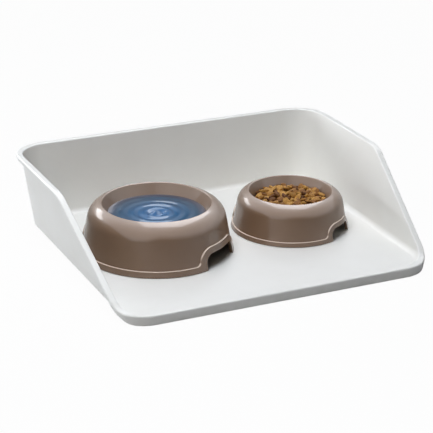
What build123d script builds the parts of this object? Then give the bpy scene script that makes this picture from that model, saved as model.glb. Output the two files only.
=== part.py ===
import os
from math import cos, hypot, radians, sin, tan

from build123d import *

# Double pet bowl: a splash tray with a large and a small bowl standing loose in it.
# Millimetres, +Z up, origin at the bottom centre, front of the tray towards -Y.

# Tray: floor and walls
rim_height = 117.0
floor_top = 12.0
floor_thick = 3.0
wall_thick = 3.0
wall_lean = 9.0
base_depth = 366.0
front_corner_round = 38.0
back_corner_round = 27.0
floor_round = 8.0
base_round = 6.0

# Tray: sloping side edge, seen from the side
knee_from_front = 191.0
slope_angle = 31.7
knee_round = 50.0
slope_foot_round = 30.0

# Tray: rim turned out and down, and the deep front lip
rim_overhang = 6.0
rim_thick = 2.5
rim_drop = 6.0
lip_crest = 15.0
lip_ground_gap = 1.0
lip_foot_round = 24.0
rim_edge_round = 2.0

# Tray feet
tray_foot_inset_x = 53.5
tray_foot_inset_y = 48.0
tray_foot_radius = 11.0
tray_foot_pad = 3.0
tray_boss_radius = 13.0
tray_spigot_radius = 4.0
tray_spigot_length = 4.5

# Room along the tray: left wall, large bowl, small bowl, right wall
left_clearance = 18.5
bowl_gap = 15.0
right_clearance = 27.5

# Both bowls: one design in two sizes
skirt_lean = 10.5
rim_fall = 21.0
dish_lean = 24.4
shoulder_share = 0.76
mouth_share = 0.09
bowl_y = 6.0
notch_angle = -53.5
foot_from_notch = 60.0
skirt_gap = 0.8
bowl_foot_pad = 3.0
bowl_spigot_radius = 2.5
bowl_spigot_length = 5.0
bowl_boss_height = 10.0
boss_wall = 1.0
band_edge_round = 0.9
foot_wall_gap = 0.8

bowls = {
    "large_bowl": dict(
        mouth_radius=74.2, rim_width=17.5, height=68.0, dish_floor=14.0, dish_round=22.0,
        shell=2.6, band_proud=2.0, band_width=9.0, notch_width=68.0, notch_height=21.5,
        notch_round=13.0, arch_foot_round=7.0, foot_radius=6.0,
    ),
    "small_bowl": dict(
        mouth_radius=58.2, rim_width=14.1, height=54.1, dish_floor=12.0, dish_round=18.0,
        shell=2.4, band_proud=1.6, band_width=7.0, notch_width=48.0, notch_height=17.0,
        notch_round=10.0, arch_foot_round=6.0, foot_radius=5.0,
    ),
}

# Fits, and how far cutting shapes run past what they cut
spigot_clearance = 0.1
spigot_end_gap = 0.5
cut_margin = 40.0

# Worked-out bowl values: the falling rim ends at a shoulder, and the skirt leans out below it
skirt_slant = radians(skirt_lean)
fall_slant = radians(rim_fall)
dish_slant = radians(dish_lean)
for size in bowls.values():
    size["shoulder_radius"] = size["mouth_radius"] + size["rim_width"]
    size["shoulder_height"] = size["height"] - size["rim_width"] * tan(fall_slant)
    size["skirt_foot"] = size["shoulder_radius"] + size["shoulder_height"] * tan(skirt_slant)
    size["base_radius"] = size["skirt_foot"] + size["band_proud"]
    rim_run = size["rim_width"] / cos(fall_slant)
    shoulder_turn = radians(90.0 - skirt_lean - rim_fall)
    mouth_turn = radians(90.0 + rim_fall - dish_lean)
    size["shoulder_round"] = shoulder_share * rim_run / tan(shoulder_turn / 2)
    size["mouth_round"] = mouth_share * rim_run / tan(mouth_turn / 2)
    crest_out = mouth_share * size["rim_width"] - size["mouth_round"] * sin(fall_slant)
    size["crest_radius"] = size["mouth_radius"] + crest_out
large_base = bowls["large_bowl"]["base_radius"]
small_base = bowls["small_bowl"]["base_radius"]
base_width = left_clearance + 2 * large_base + bowl_gap + 2 * small_base + right_clearance
bowls["large_bowl"]["centre_x"] = left_clearance + large_base - base_width / 2
bowls["small_bowl"]["centre_x"] = base_width / 2 - right_clearance - small_base

# Worked-out tray values
lean = radians(wall_lean)
slope = radians(slope_angle)
floor_under = floor_top - floor_thick
wall_height = rim_height - floor_under
base_y = -(rim_height - lip_crest) * tan(lean) / 2
front_y = base_y - base_depth / 2 - (lip_crest - floor_under) * tan(lean) - rim_overhang
back_y = -front_y
knee_y = front_y + knee_from_front
slope_foot_y = knee_y - (rim_height - lip_crest) / tan(slope)
cavity_inset = wall_thick / cos(lean) - floor_thick * tan(lean)
skirt_height = rim_height - lip_ground_gap
skirt_shrink = (floor_under - lip_ground_gap) * tan(lean)
skirt_grow = rim_overhang - skirt_shrink
hem_grow = skirt_grow - rim_thick / cos(lean)
side_reach = base_width
tray_foot_spacing_x = base_width - 2 * tray_foot_inset_x
tray_foot_spacing_y = base_depth - 2 * tray_foot_inset_y


def outline(grow):
    # rounded outline of the tray at the level of its base, grown outwards all round
    with BuildSketch(Plane.XY) as shape:
        with Locations((0, base_y)):
            Rectangle(base_width + 2 * grow, base_depth + 2 * grow)
        fillet(shape.vertices().group_by(Axis.Y)[0], front_corner_round + grow)
        fillet(shape.vertices().group_by(Axis.Y)[-1], back_corner_round + grow)
    return shape.sketch_local


def side_zone(front_level, foot_y, knee_at, back_level, foot_round, knee_radius):
    # side view of everything below the sloping edge
    with BuildSketch(Plane.YZ) as zone:
        with BuildLine():
            Polyline(
                (front_y - cut_margin, -cut_margin),
                (front_y - cut_margin, front_level),
                (foot_y, front_level),
                (knee_at, back_level),
                (back_y + cut_margin, back_level),
                (back_y + cut_margin, -cut_margin),
                close=True,
            )
        make_face()
        foot_corner = zone.vertices().sort_by_distance((foot_y, front_level))[0]
        fillet(foot_corner, foot_round)
        knee_corner = zone.vertices().sort_by_distance((knee_at, back_level))[0]
        fillet(knee_corner, knee_radius)
    return zone.sketch_local


top_zone = side_zone(
    lip_crest, slope_foot_y, knee_y, rim_height, slope_foot_round, knee_round
)
flange_slant = rim_thick / cos(slope)
flange_foot_y = slope_foot_y + (flange_slant - rim_thick) / tan(slope)
flange_knee_y = knee_y + (flange_slant - rim_thick) / tan(slope)
flange_zone = side_zone(
    lip_crest - rim_thick, flange_foot_y, flange_knee_y, rim_height - rim_thick,
    slope_foot_round + rim_thick, knee_round - rim_thick,
)
drop_slant = rim_drop / cos(slope)
drop_knee_y = knee_y + (drop_slant - rim_drop) / tan(slope)
drop_foot_y = drop_knee_y - (rim_height - rim_drop - lip_ground_gap) / tan(slope)
drop_zone = side_zone(
    lip_ground_gap, drop_foot_y, drop_knee_y, rim_height - rim_drop,
    lip_foot_round, knee_round - rim_drop,
)

# Space inside the tray, rounded along the floor
with BuildPart() as cavity:
    with BuildSketch(Plane.XY.offset(floor_top)):
        add(outline(-cavity_inset))
    extrude(amount=rim_height, taper=-wall_lean)
    fillet(cavity.edges().group_by(Axis.Z)[0], floor_round)

# Floor and leaning walls, up to the underside of the rim
with BuildPart() as walls:
    with BuildSketch(Plane.XY.offset(floor_under)):
        add(outline(0.0))
    extrude(amount=wall_height, taper=-wall_lean)
    fillet(walls.edges().group_by(Axis.Z)[0], base_round)
    add(cavity.part, mode=Mode.SUBTRACT)
    with BuildSketch(Plane.YZ):
        add(flange_zone)
    extrude(amount=side_reach, both=True, mode=Mode.INTERSECT)

# Flat of the rim, standing out from the wall, with both its upper edges rounded
with BuildPart() as rim_flange:
    with BuildSketch(Plane.XY.offset(lip_ground_gap)):
        add(outline(skirt_grow))
    extrude(amount=skirt_height, taper=-wall_lean)
    add(cavity.part, mode=Mode.SUBTRACT)
    with BuildSketch(Plane.YZ):
        add(top_zone)
    extrude(amount=side_reach, both=True, mode=Mode.INTERSECT)
    fillet(rim_flange.edges(Select.NEW).filter_by(Axis.X), rim_edge_round)
    with BuildSketch(Plane.YZ):
        add(flange_zone)
    extrude(amount=side_reach, both=True, mode=Mode.SUBTRACT)

# Turned-down edge of the rim, deepening into the front lip
with BuildPart() as rim_hem:
    with BuildSketch(Plane.XY.offset(lip_ground_gap)):
        add(outline(skirt_grow))
    extrude(amount=skirt_height, taper=-wall_lean)
    with BuildSketch(Plane.XY.offset(lip_ground_gap)):
        add(outline(hem_grow))
    extrude(amount=rim_height, taper=-wall_lean, mode=Mode.SUBTRACT)
    with BuildSketch(Plane.YZ):
        add(flange_zone)
    extrude(amount=side_reach, both=True, mode=Mode.INTERSECT)
    with BuildSketch(Plane.YZ):
        add(drop_zone)
    extrude(amount=side_reach, both=True, mode=Mode.SUBTRACT)

# Whole tray with a socketed boss under each corner of the floor
with BuildPart() as tray:
    add(walls.part)
    add(rim_flange.part)
    add(rim_hem.part)
    with BuildSketch(Plane.XY.offset(tray_foot_pad)):
        with GridLocations(tray_foot_spacing_x, tray_foot_spacing_y, 2, 2):
            Circle(tray_boss_radius)
    extrude(amount=floor_under - tray_foot_pad)
    with BuildSketch(Plane.XY.offset(tray_foot_pad)):
        with GridLocations(tray_foot_spacing_x, tray_foot_spacing_y, 2, 2):
            Circle(tray_spigot_radius + spigot_clearance)
    extrude(amount=tray_spigot_length + spigot_end_gap, mode=Mode.SUBTRACT)

os.makedirs("parts", exist_ok=True)
tray.part.label = "tray"
export_step(tray.part, "parts/tray.step")

# Rubber feet of the tray
for row, y_side in (("front", -1), ("rear", 1)):
    for column, x_side in (("left", -1), ("right", 1)):
        foot_at = (x_side * tray_foot_spacing_x / 2, y_side * tray_foot_spacing_y / 2)
        with BuildPart() as tray_foot:
            with BuildSketch(Plane.XY):
                with Locations(foot_at):
                    Circle(tray_foot_radius)
            extrude(amount=tray_foot_pad)
            with BuildSketch(Plane.XY.offset(tray_foot_pad)):
                with Locations(foot_at):
                    Circle(tray_spigot_radius)
            extrude(amount=tray_spigot_length)
        foot_name = f"tray_foot_{row}_{column}"
        tray_foot.part.label = foot_name
        export_step(tray_foot.part, f"parts/{foot_name}.step")

# Bowls and their rubber feet
for bowl_name, size in bowls.items():
    centre = Vector(size["centre_x"], bowl_y, floor_top)
    shell = size["shell"]
    skirt_foot = size["skirt_foot"]
    skirt_edge = skirt_foot - skirt_gap * tan(skirt_slant)
    shoulder_r = size["shoulder_radius"]
    shoulder_z = size["shoulder_height"]
    mouth = size["mouth_radius"]
    height = size["height"]
    dish_floor = size["dish_floor"]
    dish_r = mouth - (height - dish_floor) * tan(dish_slant)

    # raised band: runs round the base and arches over each notch
    half_notch = size["notch_width"] / 2
    arch_half = half_notch + size["band_width"]
    arch_top = size["notch_height"] + size["band_width"]
    arch_round = size["notch_round"] + size["band_width"]
    band_reach = arch_top + size["band_width"]
    band_foot = skirt_edge + size["band_proud"]
    band_fall = (band_reach - skirt_gap) * tan(skirt_slant)

    # feet stand just inside the skirt, clear of the notches
    foot_radius = size["foot_radius"]
    boss_radius = foot_radius + boss_wall
    skirt_inside = skirt_foot - bowl_foot_pad * tan(skirt_slant) - shell / cos(skirt_slant)
    foot_circle = skirt_inside - foot_wall_gap - foot_radius
    foot_places = []
    for turn in (0.0, 180.0):
        for side in (-1, 1):
            foot_turn = radians(notch_angle + turn + side * foot_from_notch)
            foot_places.append(
                (centre.X + foot_circle * cos(foot_turn), centre.Y + foot_circle * sin(foot_turn))
            )

    section_plane = Plane(origin=centre, x_dir=(1, 0, 0), z_dir=(0, -1, 0))
    upright = Axis(centre, (0, 0, 1))
    notch_way = Vector(cos(radians(notch_angle)), sin(radians(notch_angle)), 0)
    notch_across = Vector(-notch_way.Y, notch_way.X, 0)

    with BuildPart() as band:
        with BuildSketch(section_plane):
            with BuildLine():
                Polyline(
                    (skirt_edge - shell / 2, skirt_gap),
                    (band_foot, skirt_gap),
                    (band_foot - band_fall, band_reach),
                    (skirt_edge - shell / 2 - band_fall, band_reach),
                    close=True,
                )
            make_face()
        revolve(axis=upright)
        with BuildSketch(Plane(origin=centre, x_dir=notch_across, z_dir=notch_way)) as arch:
            with Locations((0, arch_top / 2)):
                Rectangle(2 * arch_half, arch_top)
            fillet(arch.vertices().group_by(Axis.Y)[-1], arch_round)
            with Locations((0, size["band_width"] / 2)):
                Rectangle(3 * size["base_radius"], size["band_width"])
            inner_corners = [
                arch.vertices().sort_by_distance((side * arch_half, size["band_width"]))[0]
                for side in (-1, 1)
            ]
            fillet(inner_corners, size["arch_foot_round"])
        extrude(amount=2 * size["base_radius"], both=True, mode=Mode.INTERSECT)
        band_edges = band.edges(Select.NEW).filter_by(
            lambda edge: hypot(edge.center().X - centre.X, edge.center().Y - centre.Y)
            > skirt_foot - (edge.center().Z - floor_top) * tan(skirt_slant)
        )
        fillet(band_edges, band_edge_round)

    # wall of the moulding in section, drawn past the axis and the open foot, then trimmed there
    wall_margin = 2 * shell
    with BuildSketch(section_plane) as section:
        with BuildLine():
            Polyline(
                (-wall_margin, skirt_gap - wall_margin),
                (skirt_edge + wall_margin * tan(skirt_slant), skirt_gap - wall_margin),
                (shoulder_r, shoulder_z),
                (mouth, height),
                (dish_r, dish_floor),
                (-wall_margin, dish_floor),
                close=True,
            )
        make_face()
        shoulder_corner = section.vertices().sort_by_distance((shoulder_r, shoulder_z))[0]
        fillet(shoulder_corner, size["shoulder_round"])
        mouth_corner = section.vertices().sort_by_distance((mouth, height))[0]
        fillet(mouth_corner, size["mouth_round"])
        dish_corner = section.vertices().sort_by_distance((dish_r, dish_floor))[0]
        fillet(dish_corner, size["dish_round"])
        offset(amount=-shell, mode=Mode.SUBTRACT)

    # one moulding, kept as two touching solids that part along the crest of the mouth
    crest = size["crest_radius"]
    with BuildPart() as dish:
        with BuildSketch(section_plane):
            add(section.sketch_local)
            with Locations((crest / 2, height)):
                Rectangle(crest, 2 * (height - dish_floor + wall_margin), mode=Mode.INTERSECT)
        revolve(axis=upright)

    with BuildPart() as skirt:
        with BuildSketch(section_plane):
            add(section.sketch_local)
            with Locations((crest + skirt_foot / 2, skirt_gap + height)):
                Rectangle(skirt_foot, 2 * height, mode=Mode.INTERSECT)
        revolve(axis=upright)
        add(band.part)
        for turn in (0.0, 180.0):
            way = notch_way.rotate(Axis.Z, turn)
            across = notch_across.rotate(Axis.Z, turn)
            notch_start = centre + way * (skirt_foot - 2 * boss_radius)
            with BuildSketch(Plane(origin=notch_start, x_dir=across, z_dir=way)) as notch:
                with Locations((0, size["notch_height"] / 2)):
                    Rectangle(size["notch_width"], size["notch_height"])
                fillet(notch.vertices().group_by(Axis.Y)[-1], size["notch_round"])
            extrude(amount=3 * boss_radius, mode=Mode.SUBTRACT)
        with BuildSketch(Plane.XY.offset(floor_top + bowl_foot_pad)):
            with Locations(*foot_places):
                Circle(boss_radius)
        extrude(amount=bowl_boss_height)
        with BuildSketch(Plane.XY.offset(floor_top + bowl_foot_pad)):
            with Locations(*foot_places):
                Circle(bowl_spigot_radius + spigot_clearance)
        extrude(amount=bowl_spigot_length + spigot_end_gap, mode=Mode.SUBTRACT)

    dish.part.label = f"{bowl_name}_dish"
    export_step(dish.part, f"parts/{bowl_name}_dish.step")
    skirt.part.label = f"{bowl_name}_skirt"
    export_step(skirt.part, f"parts/{bowl_name}_skirt.step")

    for number, foot_at in enumerate(foot_places, start=1):
        with BuildPart() as bowl_foot:
            with BuildSketch(Plane.XY.offset(floor_top)):
                with Locations(foot_at):
                    Circle(foot_radius)
            extrude(amount=bowl_foot_pad)
            with BuildSketch(Plane.XY.offset(floor_top + bowl_foot_pad)):
                with Locations(foot_at):
                    Circle(bowl_spigot_radius)
            extrude(amount=bowl_spigot_length)
        foot_name = f"{bowl_name}_foot_{number}"
        bowl_foot.part.label = foot_name
        export_step(bowl_foot.part, f"parts/{foot_name}.step")
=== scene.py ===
from math import cos, exp, hypot, pi, radians, sin, sqrt, tan

import bmesh
import bpy
from mathutils import Matrix, Vector


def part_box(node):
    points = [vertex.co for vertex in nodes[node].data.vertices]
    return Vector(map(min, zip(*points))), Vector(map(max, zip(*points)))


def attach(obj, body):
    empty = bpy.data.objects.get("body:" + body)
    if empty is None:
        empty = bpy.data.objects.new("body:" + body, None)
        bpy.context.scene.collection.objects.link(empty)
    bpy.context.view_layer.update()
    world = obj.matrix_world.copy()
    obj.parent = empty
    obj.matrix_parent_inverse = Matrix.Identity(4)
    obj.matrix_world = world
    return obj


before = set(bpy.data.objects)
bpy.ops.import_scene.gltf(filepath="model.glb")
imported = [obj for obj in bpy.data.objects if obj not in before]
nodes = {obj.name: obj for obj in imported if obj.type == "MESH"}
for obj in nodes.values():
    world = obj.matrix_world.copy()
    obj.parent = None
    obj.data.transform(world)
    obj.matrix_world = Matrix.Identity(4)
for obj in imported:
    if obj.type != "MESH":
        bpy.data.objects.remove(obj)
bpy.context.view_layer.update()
scene = bpy.context.scene
scene.view_settings.view_transform = "Standard"
mm = 0.001
upright = Vector((0, 0, 1))


def linear(hexColour):
    # sRGB hex to linear, with alpha
    parts = [int(hexColour[i:i + 2], 16) / 255 for i in (1, 3, 5)]
    return tuple(p / 12.92 if p <= 0.04045 else ((p + 0.055) / 1.055) ** 2.4 for p in parts) + (1.0,)


def addNode(tree, kind, links=None, values=None, **settings):
    node = tree.nodes.new(kind)
    for name, value in settings.items():
        setattr(node, name, value)
    for socket, value in (values or {}).items():
        node.inputs[socket].default_value = value
    for socket, source in (links or {}).items():
        tree.links.new(source, node.inputs[socket])
    return node


def startMaterial(name):
    material = bpy.data.materials.new(name)
    material.use_nodes = True
    tree = material.node_tree
    tree.nodes.clear()
    return material, tree


def addObject(name, mesh, material=None):
    piece = bpy.data.objects.new(name, mesh)
    scene.collection.objects.link(piece)
    if material:
        mesh.materials.append(material)
    return piece


# camera, from the vanishing of the tray's edges in the photograph
view = {
    "azimuth": -25.09, "elevation": 21.91, "roll": 0.574,   # degrees
    "distance": 2368.65, "aim": (40.27, 103.97, 0.0),       # mm
    "lens": 136.03, "sensor": 36.0,                         # mm
    "clipEnd": 50.0,                                        # m
}

turn, tilt, roll = (radians(view[k]) for k in ("azimuth", "elevation", "roll"))
towardsCamera = Vector((sin(turn) * cos(tilt), -cos(turn) * cos(tilt), sin(tilt)))
rightOfView = Vector((cos(turn), sin(turn), 0))
awayFromView = Vector((-sin(turn), cos(turn), 0))
upOfView = rightOfView.cross(-towardsCamera)
cameraX = rightOfView * cos(roll) + upOfView * sin(roll)
cameraY = upOfView * cos(roll) - rightOfView * sin(roll)
cameraData = bpy.data.cameras.new("photoCamera")
cameraData.sensor_width = view["sensor"]
cameraData.lens = view["lens"]
cameraData.clip_end = view["clipEnd"]
photoCamera = bpy.data.objects.new("photoCamera", cameraData)
scene.collection.objects.link(photoCamera)
cameraPlace = Matrix((cameraX, cameraY, towardsCamera)).transposed().to_4x4()
cameraPlace.translation = (Vector(view["aim"]) + towardsCamera * view["distance"]) * mm
photoCamera.matrix_world = cameraPlace
scene.camera = photoCamera
print("camera ready")


# white polypropylene, injection moulded: an even, slightly warm white with a soft sheen,
# faint clouding where the melt flowed and a fine orange peel in the reflections
trayFinish = {
    "white": "#F3F2EC", "flowWhite": "#EAE8E1", "scuffGrey": "#DAD7CF",
    "flowSize": 75.0, "flowDetail": 3.0, "flowGrain": 0.55, "flowLow": 0.3, "flowHigh": 0.7,   # size in mm
    "peelSize": 1.6, "peelDepth": 0.012,                           # mm, coarser than life so that it shows
    "peelDetail": 1.0, "peelStrength": 0.35,
    "scuffLength": 26.0, "scuffWidth": 0.7, "scuffHeight": 33.333,  # mm
    "scuffTurn": 34.0, "scuffDetail": 2.0, "scuffGrain": 0.6,       # turn in degrees
    "scuffFrom": 0.66, "scuffTo": 0.8, "scuffMost": 0.5, "scuffDulls": 0.2,
    "floorFrom": 0.8, "floorTo": 0.98,                              # upward facing that counts as floor
    "roughLow": 0.32, "roughHigh": 0.42, "ior": 1.49, "specular": 0.3,
}

whitePolypropylene, tree = startMaterial("white polypropylene, moulded")
coords = addNode(tree, "ShaderNodeTexCoord")
flow = addNode(tree, "ShaderNodeTexNoise", {"Vector": coords.outputs["Object"]},
               {"Scale": 1 / (trayFinish["flowSize"] * mm), "Detail": trayFinish["flowDetail"],
                "Roughness": trayFinish["flowGrain"]})
peel = addNode(tree, "ShaderNodeTexNoise", {"Vector": coords.outputs["Object"]},
               {"Scale": 1 / (trayFinish["peelSize"] * mm), "Detail": trayFinish["peelDetail"]})
scuffScale = tuple(1 / (trayFinish[side] * mm) for side in ("scuffLength", "scuffWidth", "scuffHeight"))
along = addNode(tree, "ShaderNodeMapping", {"Vector": coords.outputs["Object"]},
                {"Rotation": (0, 0, radians(trayFinish["scuffTurn"])), "Scale": scuffScale})
hairlines = addNode(tree, "ShaderNodeTexNoise", {"Vector": along.outputs["Vector"]},
                    {"Scale": 1.0, "Detail": trayFinish["scuffDetail"],
                     "Roughness": trayFinish["scuffGrain"]})
scuffs = addNode(tree, "ShaderNodeMapRange", {"Value": hairlines.outputs["Fac"]},
                 {"From Min": trayFinish["scuffFrom"], "From Max": trayFinish["scuffTo"],
                  "To Min": 0.0, "To Max": trayFinish["scuffMost"]})
facing = addNode(tree, "ShaderNodeNewGeometry")
upward = addNode(tree, "ShaderNodeSeparateXYZ", {"Vector": facing.outputs["Normal"]})
onFloor = addNode(tree, "ShaderNodeMapRange", {"Value": upward.outputs["Z"]},
                  {"From Min": trayFinish["floorFrom"], "From Max": trayFinish["floorTo"]})
floorScuffs = addNode(tree, "ShaderNodeMath", {0: scuffs.outputs["Result"], 1: onFloor.outputs["Result"]},
                      operation="MULTIPLY")
clouded = addNode(tree, "ShaderNodeMix", {"Factor": flow.outputs["Fac"]},
                  {6: linear(trayFinish["white"]), 7: linear(trayFinish["flowWhite"])}, data_type="RGBA")
scuffed = addNode(tree, "ShaderNodeMix", {"Factor": floorScuffs.outputs["Value"], 6: clouded.outputs[2]},
                  {7: linear(trayFinish["scuffGrey"])}, data_type="RGBA")
sheen = addNode(tree, "ShaderNodeMapRange", {"Value": flow.outputs["Fac"]},
                {"From Min": trayFinish["flowLow"], "From Max": trayFinish["flowHigh"],
                 "To Min": trayFinish["roughLow"], "To Max": trayFinish["roughHigh"]})
dulled = addNode(tree, "ShaderNodeMath", {0: floorScuffs.outputs["Value"], 2: sheen.outputs["Result"]},
                 {1: trayFinish["scuffDulls"]}, operation="MULTIPLY_ADD")
peelBump = addNode(tree, "ShaderNodeBump", {"Height": peel.outputs["Fac"]},
                   {"Strength": trayFinish["peelStrength"], "Distance": trayFinish["peelDepth"] * mm})
shader = addNode(tree, "ShaderNodeBsdfPrincipled",
                 {"Base Color": scuffed.outputs[2], "Roughness": dulled.outputs["Value"],
                  "Normal": peelBump.outputs["Normal"]},
                 {"IOR": trayFinish["ior"], "Specular IOR Level": trayFinish["specular"]})
addNode(tree, "ShaderNodeOutputMaterial", {"Surface": shader.outputs["BSDF"]})


# taupe polypropylene, injection moulded: a warm grey-brown, satin below a thin polished skin that
# mirrors the lamps, with slight flow clouding and hairlines from washing up; the upward-facing
# ledge low on the skirt is lightened as a painted highlight
bowlFinish = {
    "taupe": "#725842", "flowTaupe": "#6C533E", "hairTaupe": "#7F6652", "ledgeHighlightTaupe": "#C8B4A2",
    "flowSize": 38.0, "flowDetail": 3.0, "flowGrain": 0.55, "flowBend": 0.6,      # size in mm
    "flowLow": 0.3, "flowHigh": 0.7,
    "peelSize": 1.3, "peelDepth": 0.008, "peelDetail": 1.0, "peelStrength": 0.3,  # size and depth in mm
    "hairLength": 18.0, "hairWidth": 0.5,        # mm, real hairlines are finer and would not show
    "hairTurn": (0.3, 0.2, radians(-20)), "hairDetail": 2.0, "hairGrain": 0.6,
    "hairFrom": 0.68, "hairTo": 0.82, "hairMost": 0.35, "hairDulls": 0.25,
    "ledgeBelow": 46.0, "ledgeFrom": 0.3, "ledgeTo": 0.6,   # mm, upward facing that counts as ledge
    "roughLow": 0.44, "roughHigh": 0.52, "ior": 1.6,
    "skin": 0.75, "skinRoughness": 0.09, "skinIor": 1.5,
}

taupePolypropylene, tree = startMaterial("taupe polypropylene, polished moulding")
coords = addNode(tree, "ShaderNodeTexCoord")
flow = addNode(tree, "ShaderNodeTexNoise", {"Vector": coords.outputs["Object"]},
               {"Scale": 1 / (bowlFinish["flowSize"] * mm), "Detail": bowlFinish["flowDetail"],
                "Roughness": bowlFinish["flowGrain"], "Distortion": bowlFinish["flowBend"]})
peel = addNode(tree, "ShaderNodeTexNoise", {"Vector": coords.outputs["Object"]},
               {"Scale": 1 / (bowlFinish["peelSize"] * mm), "Detail": bowlFinish["peelDetail"]})
hairScale = tuple(1 / (bowlFinish[side] * mm) for side in ("hairLength", "hairWidth", "hairWidth"))
along = addNode(tree, "ShaderNodeMapping", {"Vector": coords.outputs["Object"]},
                {"Rotation": bowlFinish["hairTurn"], "Scale": hairScale})
hairlines = addNode(tree, "ShaderNodeTexNoise", {"Vector": along.outputs["Vector"]},
                    {"Scale": 1.0, "Detail": bowlFinish["hairDetail"], "Roughness": bowlFinish["hairGrain"]})
washed = addNode(tree, "ShaderNodeMapRange", {"Value": hairlines.outputs["Fac"]},
                 {"From Min": bowlFinish["hairFrom"], "From Max": bowlFinish["hairTo"],
                  "To Min": 0.0, "To Max": bowlFinish["hairMost"]})
clouded = addNode(tree, "ShaderNodeMix", {"Factor": flow.outputs["Fac"]},
                  {6: linear(bowlFinish["taupe"]), 7: linear(bowlFinish["flowTaupe"])}, data_type="RGBA")
worn = addNode(tree, "ShaderNodeMix", {"Factor": washed.outputs["Result"], 6: clouded.outputs[2]},
               {7: linear(bowlFinish["hairTaupe"])}, data_type="RGBA")
spot = addNode(tree, "ShaderNodeSeparateXYZ", {"Vector": coords.outputs["Object"]})
facing = addNode(tree, "ShaderNodeNewGeometry")
upward = addNode(tree, "ShaderNodeSeparateXYZ", {"Vector": facing.outputs["Normal"]})
# painted highlight: upward-facing faces low on the bowl, the band's ledge, are mixed towards a pale taupe
ledge = addNode(tree, "ShaderNodeMapRange", {"Value": upward.outputs["Z"]},
                {"From Min": bowlFinish["ledgeFrom"], "From Max": bowlFinish["ledgeTo"]})
lowDown = addNode(tree, "ShaderNodeMath", {0: spot.outputs["Z"]}, {1: bowlFinish["ledgeBelow"] * mm},
                  operation="LESS_THAN")
ledgeHighlight = addNode(tree, "ShaderNodeMath", {0: ledge.outputs["Result"], 1: lowDown.outputs[0]},
                 operation="MULTIPLY")
pale = addNode(tree, "ShaderNodeMix", {"Factor": ledgeHighlight.outputs[0], 6: worn.outputs[2]},
               {7: linear(bowlFinish["ledgeHighlightTaupe"])}, data_type="RGBA")
gloss = addNode(tree, "ShaderNodeMapRange", {"Value": flow.outputs["Fac"]},
                {"From Min": bowlFinish["flowLow"], "From Max": bowlFinish["flowHigh"],
                 "To Min": bowlFinish["roughLow"], "To Max": bowlFinish["roughHigh"]})
dulled = addNode(tree, "ShaderNodeMath", {0: washed.outputs["Result"], 2: gloss.outputs["Result"]},
                 {1: bowlFinish["hairDulls"]}, operation="MULTIPLY_ADD")
peelBump = addNode(tree, "ShaderNodeBump", {"Height": peel.outputs["Fac"]},
                   {"Strength": bowlFinish["peelStrength"], "Distance": bowlFinish["peelDepth"] * mm})
shader = addNode(tree, "ShaderNodeBsdfPrincipled",
                 {"Base Color": pale.outputs[2], "Roughness": dulled.outputs["Value"],
                  "Normal": peelBump.outputs["Normal"]},
                 {"IOR": bowlFinish["ior"], "Coat Weight": bowlFinish["skin"],
                  "Coat Roughness": bowlFinish["skinRoughness"], "Coat IOR": bowlFinish["skinIor"]})
addNode(tree, "ShaderNodeOutputMaterial", {"Surface": shader.outputs["BSDF"]})


# grey rubber, moulded and matt: no clear reflection, fine grit and a dusty bloom
footFinish = {
    "grey": "#6E6E6F", "bloom": "#868584",
    "gritSize": 0.6, "gritDepth": 0.05, "gritDetail": 3.0, "gritStrength": 0.5,   # size and depth in mm
    "bloomSize": 9.0, "bloomDetail": 4.0,                                         # size in mm
    "roughness": 0.82, "ior": 1.52,
}

greyRubber, tree = startMaterial("grey rubber, matt")
coords = addNode(tree, "ShaderNodeTexCoord")
grit = addNode(tree, "ShaderNodeTexNoise", {"Vector": coords.outputs["Object"]},
               {"Scale": 1 / (footFinish["gritSize"] * mm), "Detail": footFinish["gritDetail"]})
bloom = addNode(tree, "ShaderNodeTexNoise", {"Vector": coords.outputs["Object"]},
                {"Scale": 1 / (footFinish["bloomSize"] * mm), "Detail": footFinish["bloomDetail"]})
dusty = addNode(tree, "ShaderNodeMix", {"Factor": bloom.outputs["Fac"]},
                {6: linear(footFinish["grey"]), 7: linear(footFinish["bloom"])}, data_type="RGBA")
gritBump = addNode(tree, "ShaderNodeBump", {"Height": grit.outputs["Fac"]},
                   {"Strength": footFinish["gritStrength"], "Distance": footFinish["gritDepth"] * mm})
shader = addNode(tree, "ShaderNodeBsdfPrincipled",
                 {"Base Color": dusty.outputs[2], "Normal": gritBump.outputs["Normal"]},
                 {"Roughness": footFinish["roughness"], "IOR": footFinish["ior"]})
addNode(tree, "ShaderNodeOutputMaterial", {"Surface": shader.outputs["BSDF"]})

for name, node in nodes.items():
    finish = whitePolypropylene
    if "foot" in name:
        finish = greyRubber
    elif "bowl" in name:
        finish = taupePolypropylene
    for slot in node.material_slots:
        slot.material = finish
print("plastic and rubber finishes on", len(nodes), "nodes")


# the inside of both bowls, as the mouldings have it (mm and degrees, heights from the tray floor)
largeDish = {
    "node": "large_bowl_dish", "mouth": 74.2, "height": 68.0, "floor": 14.0, "bend": 22.0, "lean": 24.4,
}
smallDish = {
    "node": "small_bowl_dish", "mouth": 58.2, "height": 54.1, "floor": 12.0, "bend": 18.0, "lean": 24.4,
}
trayFloor = 12.0
bendSteps = 8   # rows of faces round the bend at the foot of a dish's wall

for dish in (largeDish, smallDish):
    low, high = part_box(dish["node"])
    dish["centre"] = ((low.x + high.x) / 2 / mm, (low.y + high.y) / 2 / mm)
    dish["slope"] = tan(radians(dish["lean"]))
    dish["foot"] = dish["mouth"] - (dish["height"] - dish["floor"]) * dish["slope"]
    reach = dish["bend"] * tan(radians(90 - dish["lean"]) / 2)
    dish["bendFrom"] = dish["foot"] - reach
    dish["bendTo"] = dish["foot"] + reach * sin(radians(dish["lean"]))


def dishHeight(dish, radius):
    if radius <= dish["bendFrom"]:
        return dish["floor"]
    if radius >= dish["bendTo"]:
        return dish["floor"] + (radius - dish["foot"]) / dish["slope"]
    return dish["floor"] + dish["bend"] - sqrt(dish["bend"] ** 2 - (radius - dish["bendFrom"]) ** 2)


def dishRadius(dish, height):
    return dish["foot"] + (height - dish["floor"]) * dish["slope"]


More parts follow.
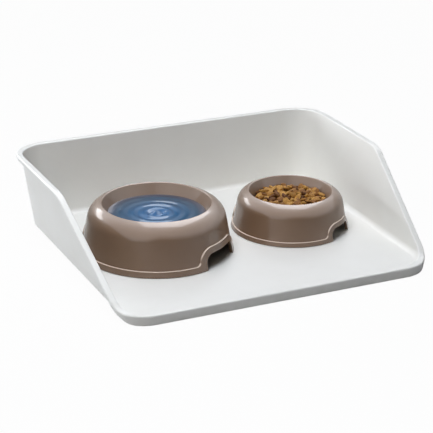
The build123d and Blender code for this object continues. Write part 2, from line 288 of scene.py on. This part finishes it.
def addRing(form, dish, radius, heightAt, segments):
    cx, cy = dish["centre"]
    if radius == 0:
        return [form.verts.new((cx * mm, cy * mm, (trayFloor + heightAt(0, 0)) * mm))]
    ring = []
    for s in range(segments):
        angle = 2 * pi * s / segments
        x = (cx + radius * cos(angle)) * mm
        y = (cy + radius * sin(angle)) * mm
        z = (trayFloor + heightAt(radius, angle)) * mm
        ring.append(form.verts.new((x, y, z)))
    return ring


def joinRings(form, rings, segments):
    for inner, outer in zip(rings, rings[1:]):
        for s in range(segments):
            t = (s + 1) % segments
            if len(inner) == 1:
                form.faces.new((inner[0], outer[s], outer[t]))
            elif len(outer) == 1:
                form.faces.new((inner[s], outer[0], inner[t]))
            else:
                form.faces.new((inner[s], outer[s], outer[t], inner[t]))


def fillOfDish(name, dish, edgeRadius, topHeight, rings, segments, clearance):
    # closed body: a modelled top surface over a copy of the dish that stays just inside it
    def underHeight(radius, angle):
        return dishHeight(dish, radius + clearance) + clearance

    bendWidth = dish["bendTo"] - dish["bendFrom"]
    topRadii = [edgeRadius * i / rings for i in range(rings + 1)]
    underRadii = [edgeRadius - clearance]
    underRadii += [dish["bendTo"] - bendWidth * i / bendSteps for i in range(bendSteps + 1)]
    form = bmesh.new()
    loops = [addRing(form, dish, radius, topHeight, segments) for radius in topRadii]
    loops += [addRing(form, dish, radius, underHeight, segments) for radius in underRadii + [0]]
    joinRings(form, loops, segments)
    bmesh.ops.recalc_face_normals(form, faces=form.faces)
    mesh = bpy.data.meshes.new(name)
    form.to_mesh(mesh)
    form.free()
    mesh.polygons.foreach_set("use_smooth", [True] * len(mesh.polygons))
    return mesh


# water with the rings of one drop spreading over it
water = {
    "level": 51.7,                                          # mm above the tray floor
    "ringFirst": 0.0546, "ringCloser": 0.000247,            # rings in a mm, and more of them further out
    "ringHeight": 1.35, "ringFade": 30.0, "edgeCalm": 5.0,  # mm
    "sway": 0.18, "swayLobes": 2, "swayTurn": 0.7,          # slow and quick unevenness round a ring
    "flutter": 0.1, "flutterLobes": 5, "flutterStep": 9.0,
    "dropHeight": 1.1, "dropWidth": 4.2, "moatDepth": 1.1, "moatRadius": 8.5, "moatWidth": 3.2,   # mm
    "swirl": 0.5, "swirlArms": 2, "swirlRadius": 15.0, "swirlStep": 2.6, "swirlFrom": 3.0,
    "meniscus": 0.4, "meniscusWidth": 1.2,                  # mm
    "rings": 150, "segments": 240, "clearance": 0.04,
    "tints": ((0.0, "#554D50"), (0.07, "#4A5060"), (0.25, "#415B72"), (0.5, "#3B6182"), (0.78, "#376892"),
              (1.0, "#346C9B")),                            # from the wall to the middle
    "blueRadius": 14.0,                                     # mm
    "roughness": 0.02, "ior": 1.333,
}
waterEdge = dishRadius(largeDish, water["level"] + water["meniscus"])


def waterHeight(radius, angle):
    fromEdge = waterEdge - radius
    ring = cos(2 * pi * (water["ringFirst"] * radius + water["ringCloser"] * radius ** 2))
    sway = water["sway"] * sin(water["swayLobes"] * angle + water["swayTurn"])
    flutter = water["flutter"] * sin(water["flutterLobes"] * angle + radius / water["flutterStep"])
    calm = exp(-radius / water["ringFade"]) * (1 + sway + flutter)
    drop = water["dropHeight"] * exp(-(radius / water["dropWidth"]) ** 2)
    moat = water["moatDepth"] * exp(-((radius - water["moatRadius"]) / water["moatWidth"]) ** 2)
    arms = sin(water["swirlArms"] * angle + radius / water["swirlStep"])
    swirl = water["swirl"] * exp(-(radius / water["swirlRadius"]) ** 2) * arms
    swirl *= min(radius / water["swirlFrom"], 1)
    edge = water["meniscus"] * exp(-fromEdge / water["meniscusWidth"])
    edgeCalm = 1 - exp(-fromEdge / water["edgeCalm"])
    return water["level"] + water["ringHeight"] * ring * calm * edgeCalm + drop - moat + swirl + edge


# tinted water: mirror-smooth, blue in the middle and greyer towards the wall, from the plastic below
blueWater, tree = startMaterial("water, blue tint")
inward = addNode(tree, "ShaderNodeAttribute", attribute_name="fromWall")
tint = addNode(tree, "ShaderNodeValToRGB", {"Fac": inward.outputs["Fac"]})
for share, colour in water["tints"][1:-1]:
    tint.color_ramp.elements.new(share)
for stop, (share, colour) in zip(tint.color_ramp.elements, water["tints"]):
    stop.position = share
    stop.color = linear(colour)
shader = addNode(tree, "ShaderNodeBsdfPrincipled", {"Base Color": tint.outputs["Color"]},
                 {"Roughness": water["roughness"], "IOR": water["ior"]})
addNode(tree, "ShaderNodeOutputMaterial", {"Surface": shader.outputs["BSDF"]})

waterMesh = fillOfDish("water", largeDish, waterEdge, waterHeight,
                       water["rings"], water["segments"], water["clearance"])
fromWall = waterMesh.attributes.new("fromWall", "FLOAT", "POINT")
cx, cy = largeDish["centre"]
for vertex, value in zip(waterMesh.vertices, fromWall.data):
    radius = hypot(vertex.co.x / mm - cx, vertex.co.y / mm - cy)
    value.value = min(max((waterEdge - radius) / (waterEdge - water["blueRadius"]), 0), 1)
waterPiece = addObject("water", waterMesh, blueWater)
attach(waterPiece, "large_bowl")
print("water:", len(waterMesh.polygons), "faces")


# dry food: a shallow heap of pellets
kibble = {
    "edge": 41.0, "mound": 4.2, "leftUp": 1.4, "heapRadius": 52.0, "scatterRadius": 47.6,   # mm
    "heapRings": 12, "heapSides": 48,
    "pelletWidth": 10.4, "pelletThickness": 4.4, "spacing": 7.0,   # mm
    "layerDrop": 4.4, "looseness": 1.6, "wallGap": 0.25,    # mm
    "density": 60000.0,                                     # points in a square metre, before spacing
    "tilt": 40.0, "crispFrom": 42.0,                        # degrees
    "pelletSides": 12, "facesPerSide": 6,
    "edgePower": 4.0, "edgeDrop": 0.45, "belly": 1.1, "taper": 0.1, "lobeCount": 3.0, "lobes": 0.14,
    "sizeLow": (0.40, 0.36, 0.42), "sizeHigh": (0.56, 0.50, 0.60),     # half widths and half thickness
    "roughen": 1.5, "lumpScale": 1.15, "lumpDetail": 2.5, "lumpGrain": 0.55, "lumpShift": 90.0,
    "seed": 7, "layerSeedStep": 31, "toneSeedStep": 5,
    "tones": ((0.25, "#532F10"), (0.55, "#8A5A24"), (1.0, "#C18F45")), "pores": "#1E0E03",
    "patch": 5.0, "patchDetail": 3.0, "patchGrain": 0.6, "patchShare": 0.5,                 # size in mm
    "crumb": 1.1, "crumbDepth": 0.35, "crumbDetail": 4.0, "crumbGrain": 0.65, "crumbStrength": 0.7,
    "pitFrom": 0.34, "pitTo": 0.5, "pitDark": 0.55,
    "roughness": 0.85, "ior": 1.4,
}


def heapHeight(radius, angle):
    side = radius * (cos(angle) * rightOfView.x + sin(angle) * rightOfView.y) / kibble["heapRadius"]
    mound = kibble["mound"] * (1 - (radius / kibble["heapRadius"]) ** 2)
    return kibble["edge"] + mound - kibble["leftUp"] * side


# baked dry food: matt, crumbly and pitted, golden brown with some darker pellets
bakedKibble, tree = startMaterial("dry food, baked")
coords = addNode(tree, "ShaderNodeTexCoord")
tone = addNode(tree, "ShaderNodeAttribute", attribute_name="pelletTone")
patches = addNode(tree, "ShaderNodeTexNoise", {"Vector": coords.outputs["Object"]},
                  {"Scale": 1 / (kibble["patch"] * mm), "Detail": kibble["patchDetail"],
                   "Roughness": kibble["patchGrain"]})
mixedTone = addNode(tree, "ShaderNodeMath", {0: patches.outputs["Fac"], 2: tone.outputs["Fac"]},
                    {1: kibble["patchShare"]}, operation="MULTIPLY_ADD")
browns = addNode(tree, "ShaderNodeValToRGB", {"Fac": mixedTone.outputs["Value"]})
for share, colour in kibble["tones"][1:-1]:
    browns.color_ramp.elements.new(share)
for stop, (share, colour) in zip(browns.color_ramp.elements, kibble["tones"]):
    stop.position = share
    stop.color = linear(colour)
crumbs = addNode(tree, "ShaderNodeTexNoise", {"Vector": coords.outputs["Object"]},
                 {"Scale": 1 / (kibble["crumb"] * mm), "Detail": kibble["crumbDetail"],
                  "Roughness": kibble["crumbGrain"]})
pits = addNode(tree, "ShaderNodeMapRange", {"Value": crumbs.outputs["Fac"]},
               {"From Min": kibble["pitFrom"], "From Max": kibble["pitTo"],
                "To Min": kibble["pitDark"], "To Max": 0.0})
pitted = addNode(tree, "ShaderNodeMix", {"Factor": pits.outputs["Result"], 6: browns.outputs["Color"]},
                 {7: linear(kibble["pores"])}, data_type="RGBA")
crumbBump = addNode(tree, "ShaderNodeBump", {"Height": crumbs.outputs["Fac"]},
                    {"Strength": kibble["crumbStrength"], "Distance": kibble["crumbDepth"] * mm})
shader = addNode(tree, "ShaderNodeBsdfPrincipled",
                 {"Base Color": pitted.outputs[2], "Normal": crumbBump.outputs["Normal"]},
                 {"Roughness": kibble["roughness"], "IOR": kibble["ior"]})
addNode(tree, "ShaderNodeOutputMaterial", {"Surface": shader.outputs["BSDF"]})


def heapTree(dish):
    tree = bpy.data.node_groups.new("kibbleHeap", "GeometryNodeTree")
    tree.interface.new_socket("Heap", in_out="INPUT", socket_type="NodeSocketGeometry")
    for name in ("Spacing", "Width", "Thickness", "Tilt", "Layer drop", "Looseness", "Lobes", "Roughen"):
        tree.interface.new_socket(name, in_out="INPUT", socket_type="NodeSocketFloat")
    tree.interface.new_socket("Seed", in_out="INPUT", socket_type="NodeSocketInt")
    tree.interface.new_socket("Food", in_out="INPUT", socket_type="NodeSocketMaterial")
    tree.interface.new_socket("Pellets", in_out="OUTPUT", socket_type="NodeSocketGeometry")
    given = addNode(tree, "NodeGroupInput").outputs

    # one pellet: a chip with flat faces, a rounded edge and three soft lobes
    disc = addNode(tree, "GeometryNodeMeshCylinder",
                   values={"Vertices": kibble["pelletSides"], "Side Segments": 2, "Fill Segments": 2,
                           "Radius": 1.0, "Depth": 2.0}, fill_type="TRIANGLE_FAN")
    spot = addNode(tree, "GeometryNodeInputPosition")
    axes = addNode(tree, "ShaderNodeSeparateXYZ", {"Vector": spot.outputs[0]})
    flat = addNode(tree, "ShaderNodeVectorMath", {0: spot.outputs[0]}, {1: (1, 1, 0)}, operation="MULTIPLY")
    across = addNode(tree, "ShaderNodeVectorMath", {0: flat.outputs[0]}, operation="LENGTH")
    steep = addNode(tree, "ShaderNodeMath", {0: across.outputs["Value"]}, {1: kibble["edgePower"]},
                    operation="POWER")
    crown = addNode(tree, "ShaderNodeMath", {0: steep.outputs[0]}, {1: -kibble["edgeDrop"], 2: 1.0},
                    operation="MULTIPLY_ADD")
    height = addNode(tree, "ShaderNodeMath", {0: axes.outputs["Z"], 1: crown.outputs[0]},
                     operation="MULTIPLY")
    off = addNode(tree, "ShaderNodeMath", {0: axes.outputs["Z"]}, operation="ABSOLUTE")
    belly = addNode(tree, "ShaderNodeMath", {0: off.outputs[0]}, {1: -kibble["taper"], 2: kibble["belly"]},
                    operation="MULTIPLY_ADD")
    angle = addNode(tree, "ShaderNodeMath", {0: axes.outputs["Y"], 1: axes.outputs["X"]}, operation="ARCTAN2")
    lobeTurn = addNode(tree, "ShaderNodeMath", {0: angle.outputs[0]}, {1: kibble["lobeCount"]},
                       operation="MULTIPLY")
    wave = addNode(tree, "ShaderNodeMath", {0: lobeTurn.outputs[0]}, operation="COSINE")
    swell = addNode(tree, "ShaderNodeMath", {0: wave.outputs[0], 1: given["Lobes"]}, {2: 1.0},
                    operation="MULTIPLY_ADD")
    reach = addNode(tree, "ShaderNodeMath", {0: swell.outputs[0], 1: belly.outputs[0]}, operation="MULTIPLY")
    spread = addNode(tree, "ShaderNodeVectorMath", {0: flat.outputs[0], "Scale": reach.outputs[0]},
                     operation="SCALE")
    rise = addNode(tree, "ShaderNodeCombineXYZ", {"Z": height.outputs[0]})
    lobed = addNode(tree, "ShaderNodeVectorMath", {0: spread.outputs[0], 1: rise.outputs[0]}, operation="ADD")
    pellet = addNode(tree, "GeometryNodeSetPosition",
                     {"Geometry": disc.outputs["Mesh"], "Position": lobed.outputs[0]})
    kept = addNode(tree, "GeometryNodeStoreNamedAttribute",
                   {"Geometry": pellet.outputs[0], "Value": lobed.outputs[0]},
                   {"Name": "pelletSpot"}, data_type="FLOAT_VECTOR", domain="POINT")

    # two layers of scattered points, the second dropped below the first
    layers = addNode(tree, "GeometryNodeJoinGeometry")
    for layer, share in enumerate((0.0, -1.0)):
        seed = addNode(tree, "FunctionNodeIntegerMath", {0: given["Seed"]},
                       {1: kibble["layerSeedStep"] * layer}, operation="ADD")
        points = addNode(tree, "GeometryNodeDistributePointsOnFaces",
                         {"Mesh": given["Heap"], "Distance Min": given["Spacing"], "Seed": seed.outputs[0]},
                         {"Density Max": kibble["density"]}, distribute_method="POISSON")
        loose = addNode(tree, "FunctionNodeRandomValue", {"Seed": seed.outputs[0]}, {2: -1.0, 3: 1.0},
                        data_type="FLOAT")
        jitter = addNode(tree, "ShaderNodeMath", {0: loose.outputs[1], 1: given["Looseness"]},
                         operation="MULTIPLY")
        drop = addNode(tree, "ShaderNodeMath", {0: given["Layer drop"], 2: jitter.outputs[0]}, {1: share},
                       operation="MULTIPLY_ADD")
        lift = addNode(tree, "ShaderNodeCombineXYZ", {"Z": drop.outputs[0]})
        settled = addNode(tree, "GeometryNodeSetPosition",
                          {"Geometry": points.outputs["Points"], "Offset": lift.outputs[0]})
        tree.links.new(settled.outputs[0], layers.inputs[0])

    # each pellet has its own lean, turn, size and tone
    back = addNode(tree, "ShaderNodeMath", {0: given["Tilt"]}, {1: -1.0}, operation="MULTIPLY")
    leanLow = addNode(tree, "ShaderNodeCombineXYZ", {"X": back.outputs[0], "Y": back.outputs[0]})
    leanHigh = addNode(tree, "ShaderNodeCombineXYZ", {"X": given["Tilt"], "Y": given["Tilt"]}, {"Z": 2 * pi})
    lean = addNode(tree, "FunctionNodeRandomValue",
                   {0: leanLow.outputs[0], 1: leanHigh.outputs[0], "Seed": given["Seed"]},
                   data_type="FLOAT_VECTOR")
    whole = addNode(tree, "ShaderNodeCombineXYZ",
                    {"X": given["Width"], "Y": given["Width"], "Z": given["Thickness"]})
    vary = addNode(tree, "FunctionNodeRandomValue", {"Seed": given["Seed"]},
                   {0: kibble["sizeLow"], 1: kibble["sizeHigh"]}, data_type="FLOAT_VECTOR")
    size = addNode(tree, "ShaderNodeVectorMath", {0: whole.outputs[0], 1: vary.outputs[0]},
                   operation="MULTIPLY")
    placed = addNode(tree, "GeometryNodeInstanceOnPoints",
                     {"Points": layers.outputs[0], "Instance": kept.outputs[0],
                      "Rotation": lean.outputs[0], "Scale": size.outputs[0]})
    toneSeed = addNode(tree, "FunctionNodeIntegerMath", {0: given["Seed"]}, {1: kibble["toneSeedStep"]},
                       operation="ADD")
    tone = addNode(tree, "FunctionNodeRandomValue", {"Seed": toneSeed.outputs[0]}, {2: 0.0, 3: 1.0},
                   data_type="FLOAT")
    toned = addNode(tree, "GeometryNodeStoreNamedAttribute",
                    {"Geometry": placed.outputs[0], "Value": tone.outputs[1]},
                    {"Name": "pelletTone"}, data_type="FLOAT", domain="INSTANCE")
    real = addNode(tree, "GeometryNodeRealizeInstances", {"Geometry": toned.outputs[0]})

    # lumps, different on every pellet
    readSpot = addNode(tree, "GeometryNodeInputNamedAttribute", values={"Name": "pelletSpot"},
                       data_type="FLOAT_VECTOR")
    readTone = addNode(tree, "GeometryNodeInputNamedAttribute", values={"Name": "pelletTone"},
                       data_type="FLOAT")
    shift = addNode(tree, "ShaderNodeMath", {0: readTone.outputs[0]}, {1: kibble["lumpShift"]},
                    operation="MULTIPLY")
    lumps = addNode(tree, "ShaderNodeTexNoise", {"Vector": readSpot.outputs[0], "W": shift.outputs[0]},
                    {"Scale": kibble["lumpScale"], "Detail": kibble["lumpDetail"],
                     "Roughness": kibble["lumpGrain"]}, noise_dimensions="4D")
    centred = addNode(tree, "ShaderNodeMath", {0: lumps.outputs[0]}, {1: 0.5}, operation="SUBTRACT")
    push = addNode(tree, "ShaderNodeMath", {0: centred.outputs[0], 1: given["Roughen"]}, operation="MULTIPLY")
    outward = addNode(tree, "GeometryNodeInputNormal")
    bulge = addNode(tree, "ShaderNodeVectorMath", {0: outward.outputs[0], "Scale": push.outputs[0]},
                    operation="SCALE")
    lumpy = addNode(tree, "GeometryNodeSetPosition",
                    {"Geometry": real.outputs[0], "Offset": bulge.outputs[0]})

    # nothing passes the wall of the bowl: points beyond it are drawn back to just inside
    cx, cy = dish["centre"]
    axis = (cx * mm, cy * mm, 0)
    wallAtZero = (dish["foot"] - (trayFloor + dish["floor"]) * dish["slope"] - kibble["wallGap"]) * mm
    where = addNode(tree, "GeometryNodeInputPosition")
    fromAxis = addNode(tree, "ShaderNodeVectorMath", {0: where.outputs[0]}, {1: axis}, operation="SUBTRACT")
    parts = addNode(tree, "ShaderNodeSeparateXYZ", {"Vector": fromAxis.outputs[0]})
    level = addNode(tree, "ShaderNodeCombineXYZ", {"Z": parts.outputs["Z"]})
    sideways = addNode(tree, "ShaderNodeVectorMath", {0: fromAxis.outputs[0], 1: level.outputs[0]},
                       operation="SUBTRACT")
    radius = addNode(tree, "ShaderNodeVectorMath", {0: sideways.outputs[0]}, operation="LENGTH")
    wall = addNode(tree, "ShaderNodeMath", {0: parts.outputs["Z"]}, {1: dish["slope"], 2: wallAtZero},
                   operation="MULTIPLY_ADD")
    ratio = addNode(tree, "ShaderNodeMath", {0: wall.outputs[0], 1: radius.outputs["Value"]},
                    operation="DIVIDE")
    held = addNode(tree, "ShaderNodeMath", {0: ratio.outputs[0]}, {1: 1.0}, operation="MINIMUM")
    drawnIn = addNode(tree, "ShaderNodeVectorMath", {0: sideways.outputs[0], "Scale": held.outputs[0]},
                      operation="SCALE")
    raised = addNode(tree, "ShaderNodeVectorMath", {0: drawnIn.outputs[0], 1: level.outputs[0]},
                     operation="ADD")
    returned = addNode(tree, "ShaderNodeVectorMath", {0: raised.outputs[0]}, {1: axis}, operation="ADD")
    inside = addNode(tree, "GeometryNodeSetPosition",
                     {"Geometry": lumpy.outputs[0], "Position": returned.outputs[0]})

    # smooth shading, but for the sharpest edges
    smooth = addNode(tree, "GeometryNodeSetShadeSmooth", {"Geometry": inside.outputs[0]})
    bend = addNode(tree, "GeometryNodeInputMeshEdgeAngle")
    broken = addNode(tree, "FunctionNodeCompare", {0: bend.outputs["Unsigned Angle"]},
                     {1: radians(kibble["crispFrom"])}, operation="GREATER_THAN")
    crisp = addNode(tree, "GeometryNodeSetShadeSmooth",
                    {"Geometry": smooth.outputs[0], "Selection": broken.outputs[0]},
                    {"Shade Smooth": False}, domain="EDGE")
    dressed = addNode(tree, "GeometryNodeSetMaterial",
                      {"Geometry": crisp.outputs[0], "Material": given["Food"]})
    addNode(tree, "NodeGroupOutput", {0: dressed.outputs[0]})
    return tree


# the surface that the pellets are scattered on
heapForm = bmesh.new()
heapRings = []
for i in range(1, kibble["heapRings"] + 1):
    radius = kibble["scatterRadius"] * i / kibble["heapRings"]
    heapRings.append(addRing(heapForm, smallDish, radius, heapHeight, kibble["heapSides"]))
heapForm.faces.new(heapRings[0])
joinRings(heapForm, heapRings, kibble["heapSides"])
heapMesh = bpy.data.meshes.new("heapSurface")
heapForm.to_mesh(heapMesh)
heapForm.free()
heapSurface = addObject("heapSurface", heapMesh)

heapNodes = heapSurface.modifiers.new("kibbleHeap", "NODES")
heapNodes.node_group = heapTree(smallDish)
heapInputs = {
    "Spacing": kibble["spacing"] * mm, "Width": kibble["pelletWidth"] * mm,
    "Thickness": kibble["pelletThickness"] * mm, "Tilt": radians(kibble["tilt"]),
    "Layer drop": kibble["layerDrop"] * mm, "Looseness": kibble["looseness"] * mm,
    "Lobes": kibble["lobes"], "Roughen": kibble["roughen"] * mm,
    "Seed": kibble["seed"], "Food": bakedKibble,
}
for item in heapNodes.node_group.interface.items_tree:
    if item.name in heapInputs and item.in_out == "INPUT":
        heapNodes[item.identifier] = heapInputs[item.name]
heapSurface.update_tag()
graph = bpy.context.evaluated_depsgraph_get()
heaped = heapSurface.evaluated_get(graph)
kibbleMesh = bpy.data.meshes.new_from_object(heaped, preserve_all_data_layers=True, depsgraph=graph)
kibbleMesh.name = "kibble"
bpy.data.objects.remove(heapSurface)
kibblePiece = addObject("kibble", kibbleMesh)
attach(kibblePiece, "small_bowl")
pelletFaces = kibble["pelletSides"] * kibble["facesPerSide"]
print("kibble:", len(kibbleMesh.polygons), "faces,", len(kibbleMesh.polygons) // pelletFaces, "pellets")


# a bed of the same food below the pellets, coloured near black as painted shade in the gaps between them
kibbleBed = {
    "drop": 6.2, "lump": 0.9,                               # mm
    "lumpStep": 2.1, "lumpBend": 3, "bendCount": 3, "lumpCount": 7, "lumpDrift": 5.0,
    "rings": 24, "segments": 72, "clearance": 0.06,
    "shade": "#0E0602", "crumb": "#241306", "crumbSize": 3.0, "crumbDepth": 1.0, "crumbDetail": 5.0,
    "crumbStrength": 1.0, "roughness": 0.9, "ior": 1.4,
}
bedEdge = dishRadius(smallDish, kibble["edge"] - kibbleBed["drop"])


def bedHeight(radius, angle):
    bent = kibbleBed["lumpBend"] * sin(kibbleBed["bendCount"] * angle)
    inOut = sin(radius / kibbleBed["lumpStep"] + bent)
    around = cos(kibbleBed["lumpCount"] * angle + radius / kibbleBed["lumpDrift"])
    lump = kibbleBed["lump"] * inOut * around * (1 - radius / bedEdge)
    return heapHeight(radius, angle) - kibbleBed["drop"] + lump


# crumbs below the pellets, painted dark brown as the shade in the gaps between them; matt and grainy
shadedKibble, tree = startMaterial("dry food below, painted shade")
coords = addNode(tree, "ShaderNodeTexCoord")
crumbs = addNode(tree, "ShaderNodeTexNoise", {"Vector": coords.outputs["Object"]},
                 {"Scale": 1 / (kibbleBed["crumbSize"] * mm), "Detail": kibbleBed["crumbDetail"]})
# painted shade: near black mixed with dark brown by the crumb noise
shadeCrumbTone = addNode(tree, "ShaderNodeMix", {"Factor": crumbs.outputs["Fac"]},
                    {6: linear(kibbleBed["shade"]), 7: linear(kibbleBed["crumb"])}, data_type="RGBA")
crumbBump = addNode(tree, "ShaderNodeBump", {"Height": crumbs.outputs["Fac"]},
                    {"Strength": kibbleBed["crumbStrength"], "Distance": kibbleBed["crumbDepth"] * mm})
shader = addNode(tree, "ShaderNodeBsdfPrincipled",
                 {"Base Color": shadeCrumbTone.outputs[2], "Normal": crumbBump.outputs["Normal"]},
                 {"Roughness": kibbleBed["roughness"], "IOR": kibbleBed["ior"]})
addNode(tree, "ShaderNodeOutputMaterial", {"Surface": shader.outputs["BSDF"]})

bedMesh = fillOfDish("kibble_bed", smallDish, bedEdge, bedHeight,
                     kibbleBed["rings"], kibbleBed["segments"], kibbleBed["clearance"])
bedPiece = addObject("kibble_bed", bedMesh, shadedKibble)
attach(bedPiece, "small_bowl")
print("kibble bed:", len(bedMesh.polygons), "faces")


# studio: a large softbox overhead and a little behind, a small one behind at the left, and soft fills;
# what gloss mirrors and what lights the matt colour are set apart, so both can be as in the photograph
studio = {
    "aim": (0.0, 20.0, 60.0),   # mm; places and sizes below in metres, to the right, away and up in the view
    "lamps": {
        "softbox": {"place": (0.18, 0.76, 1.6), "size": (1.25, 1.9), "power": 39.0, "colour": "#FAFBFF"},
        "window": {"place": (-0.84, 0.66, 0.53), "size": (0.62, 0.24), "power": 3.1, "colour": "#FFFFFF"},
        "key": {"place": (-0.35, -0.5, 1.8), "size": (0.8, 1.2), "power": 24.0, "colour": "#ECF3FF"},
        "ceiling": {"place": (-0.5, 0.2, 2.0), "size": (1.6, 2.0), "power": 14.5, "colour": "#F6F9FF"},
        "front": {"place": (-0.9, -1.9, 1.2), "size": (1.4, 1.0), "power": 5.0, "colour": "#FFF0DC"},
        "leftLow": {"place": (-1.6, 0.3, 0.24), "size": (0.9, 0.3), "power": 11.5, "colour": "#F4F8FF"},
    },
    "mirrored": ("softbox", "window"),
    "ambient": 0.04, "ambientColour": "#F6F6F8", "white": "#FFFFFF",
    "domeLow": 0.08, "domeHigh": 2.1, "domeFrom": 0.2, "domeTo": 0.8,
    "domeLeft": 0.85, "domeFront": 0.2, "domeRight": 0.4,
    "floorColour": "#C8C8C8", "floorGlow": 0.97,
    "floorCells": 4, "floorHalf": 4.0,   # half its width in metres
}


def addSoftbox(name, box):
    right, away, rise = box["place"]
    out = rightOfView * right + awayFromView * away + upright * rise
    across = rightOfView if rise > abs(right) else upright.cross(out)
    across = (across - out * across.dot(out) / out.length_squared).normalized()
    lamp = bpy.data.lights.new(name, "AREA")
    lamp.shape = "RECTANGLE"
    lamp.size, lamp.size_y = box["size"]
    lamp.energy = box["power"]
    lamp.color = linear(box["colour"])[:3]
    holder = bpy.data.objects.new(name, lamp)
    scene.collection.objects.link(holder)
    facing = out.normalized()
    stand = Matrix((across, facing.cross(across), facing)).transposed().to_4x4()
    stand.translation = Vector(studio["aim"]) * mm + out
    holder.matrix_world = stand
    holder.visible_camera = False
    return holder


for name, box in studio["lamps"].items():
    lamp = addSoftbox(name, box)
    lamp.visible_glossy = name in studio["mirrored"]
    lamp.visible_diffuse = not lamp.visible_glossy

# white to the camera; in reflections a soft dome, bright above and at the left, less so at the right
world = bpy.data.worlds.new("studioWhite")
scene.world = world
world.use_nodes = True
tree = world.node_tree
tree.nodes.clear()
leftDome = upright - rightOfView * studio["domeLeft"] - awayFromView * studio["domeFront"]
rightDome = upright + rightOfView * studio["domeRight"]
rays = addNode(tree, "ShaderNodeLightPath")
coords = addNode(tree, "ShaderNodeTexCoord")
dim = addNode(tree, "ShaderNodeBackground",
              values={"Color": linear(studio["ambientColour"]), "Strength": studio["ambient"]})
towardsLeft = addNode(tree, "ShaderNodeVectorMath", {0: coords.outputs["Generated"]}, {1: leftDome},
                      operation="DOT_PRODUCT")
towardsRight = addNode(tree, "ShaderNodeVectorMath", {0: coords.outputs["Generated"]}, {1: rightDome},
                       operation="DOT_PRODUCT")
towardsDome = addNode(tree, "ShaderNodeMath",
                      {0: towardsLeft.outputs["Value"], 1: towardsRight.outputs["Value"]},
                      operation="MAXIMUM")
domeLevel = addNode(tree, "ShaderNodeMapRange", {"Value": towardsDome.outputs["Value"]},
                    {"From Min": studio["domeFrom"], "From Max": studio["domeTo"],
                     "To Min": studio["domeLow"], "To Max": studio["domeHigh"]},
                    interpolation_type="SMOOTHSTEP")
dome = addNode(tree, "ShaderNodeBackground", {"Strength": domeLevel.outputs["Result"]},
               {"Color": linear(studio["ambientColour"])})
white = addNode(tree, "ShaderNodeBackground", values={"Color": linear(studio["white"]), "Strength": 1.0})
reflected = addNode(tree, "ShaderNodeMixShader",
                    {0: rays.outputs["Is Glossy Ray"], 1: dim.outputs[0], 2: dome.outputs[0]})
either = addNode(tree, "ShaderNodeMixShader",
                 {0: rays.outputs["Is Camera Ray"], 1: reflected.outputs[0], 2: white.outputs[0]})
addNode(tree, "ShaderNodeOutputWorld", {"Surface": either.outputs[0]})

# pale floor that reads as white and still takes a faint shadow
paleFloor, tree = startMaterial("pale studio floor")
rays = addNode(tree, "ShaderNodeLightPath")
glowShare = addNode(tree, "ShaderNodeMath", {0: rays.outputs["Is Camera Ray"]}, {1: studio["floorGlow"]},
                    operation="MULTIPLY")
paint = addNode(tree, "ShaderNodeBsdfDiffuse", values={"Color": linear(studio["floorColour"])})
glow = addNode(tree, "ShaderNodeEmission", values={"Color": linear(studio["white"]), "Strength": 1.0})
both = addNode(tree, "ShaderNodeMixShader",
               {0: glowShare.outputs[0], 1: paint.outputs[0], 2: glow.outputs[0]})
addNode(tree, "ShaderNodeOutputMaterial", {"Surface": both.outputs[0]})
floorForm = bmesh.new()
bmesh.ops.create_grid(floorForm, x_segments=studio["floorCells"], y_segments=studio["floorCells"],
                      size=studio["floorHalf"])
floorMesh = bpy.data.meshes.new("studioFloor")
floorForm.to_mesh(floorMesh)
floorForm.free()
studioFloor = addObject("studioFloor", floorMesh, paleFloor)
print("studio ready")
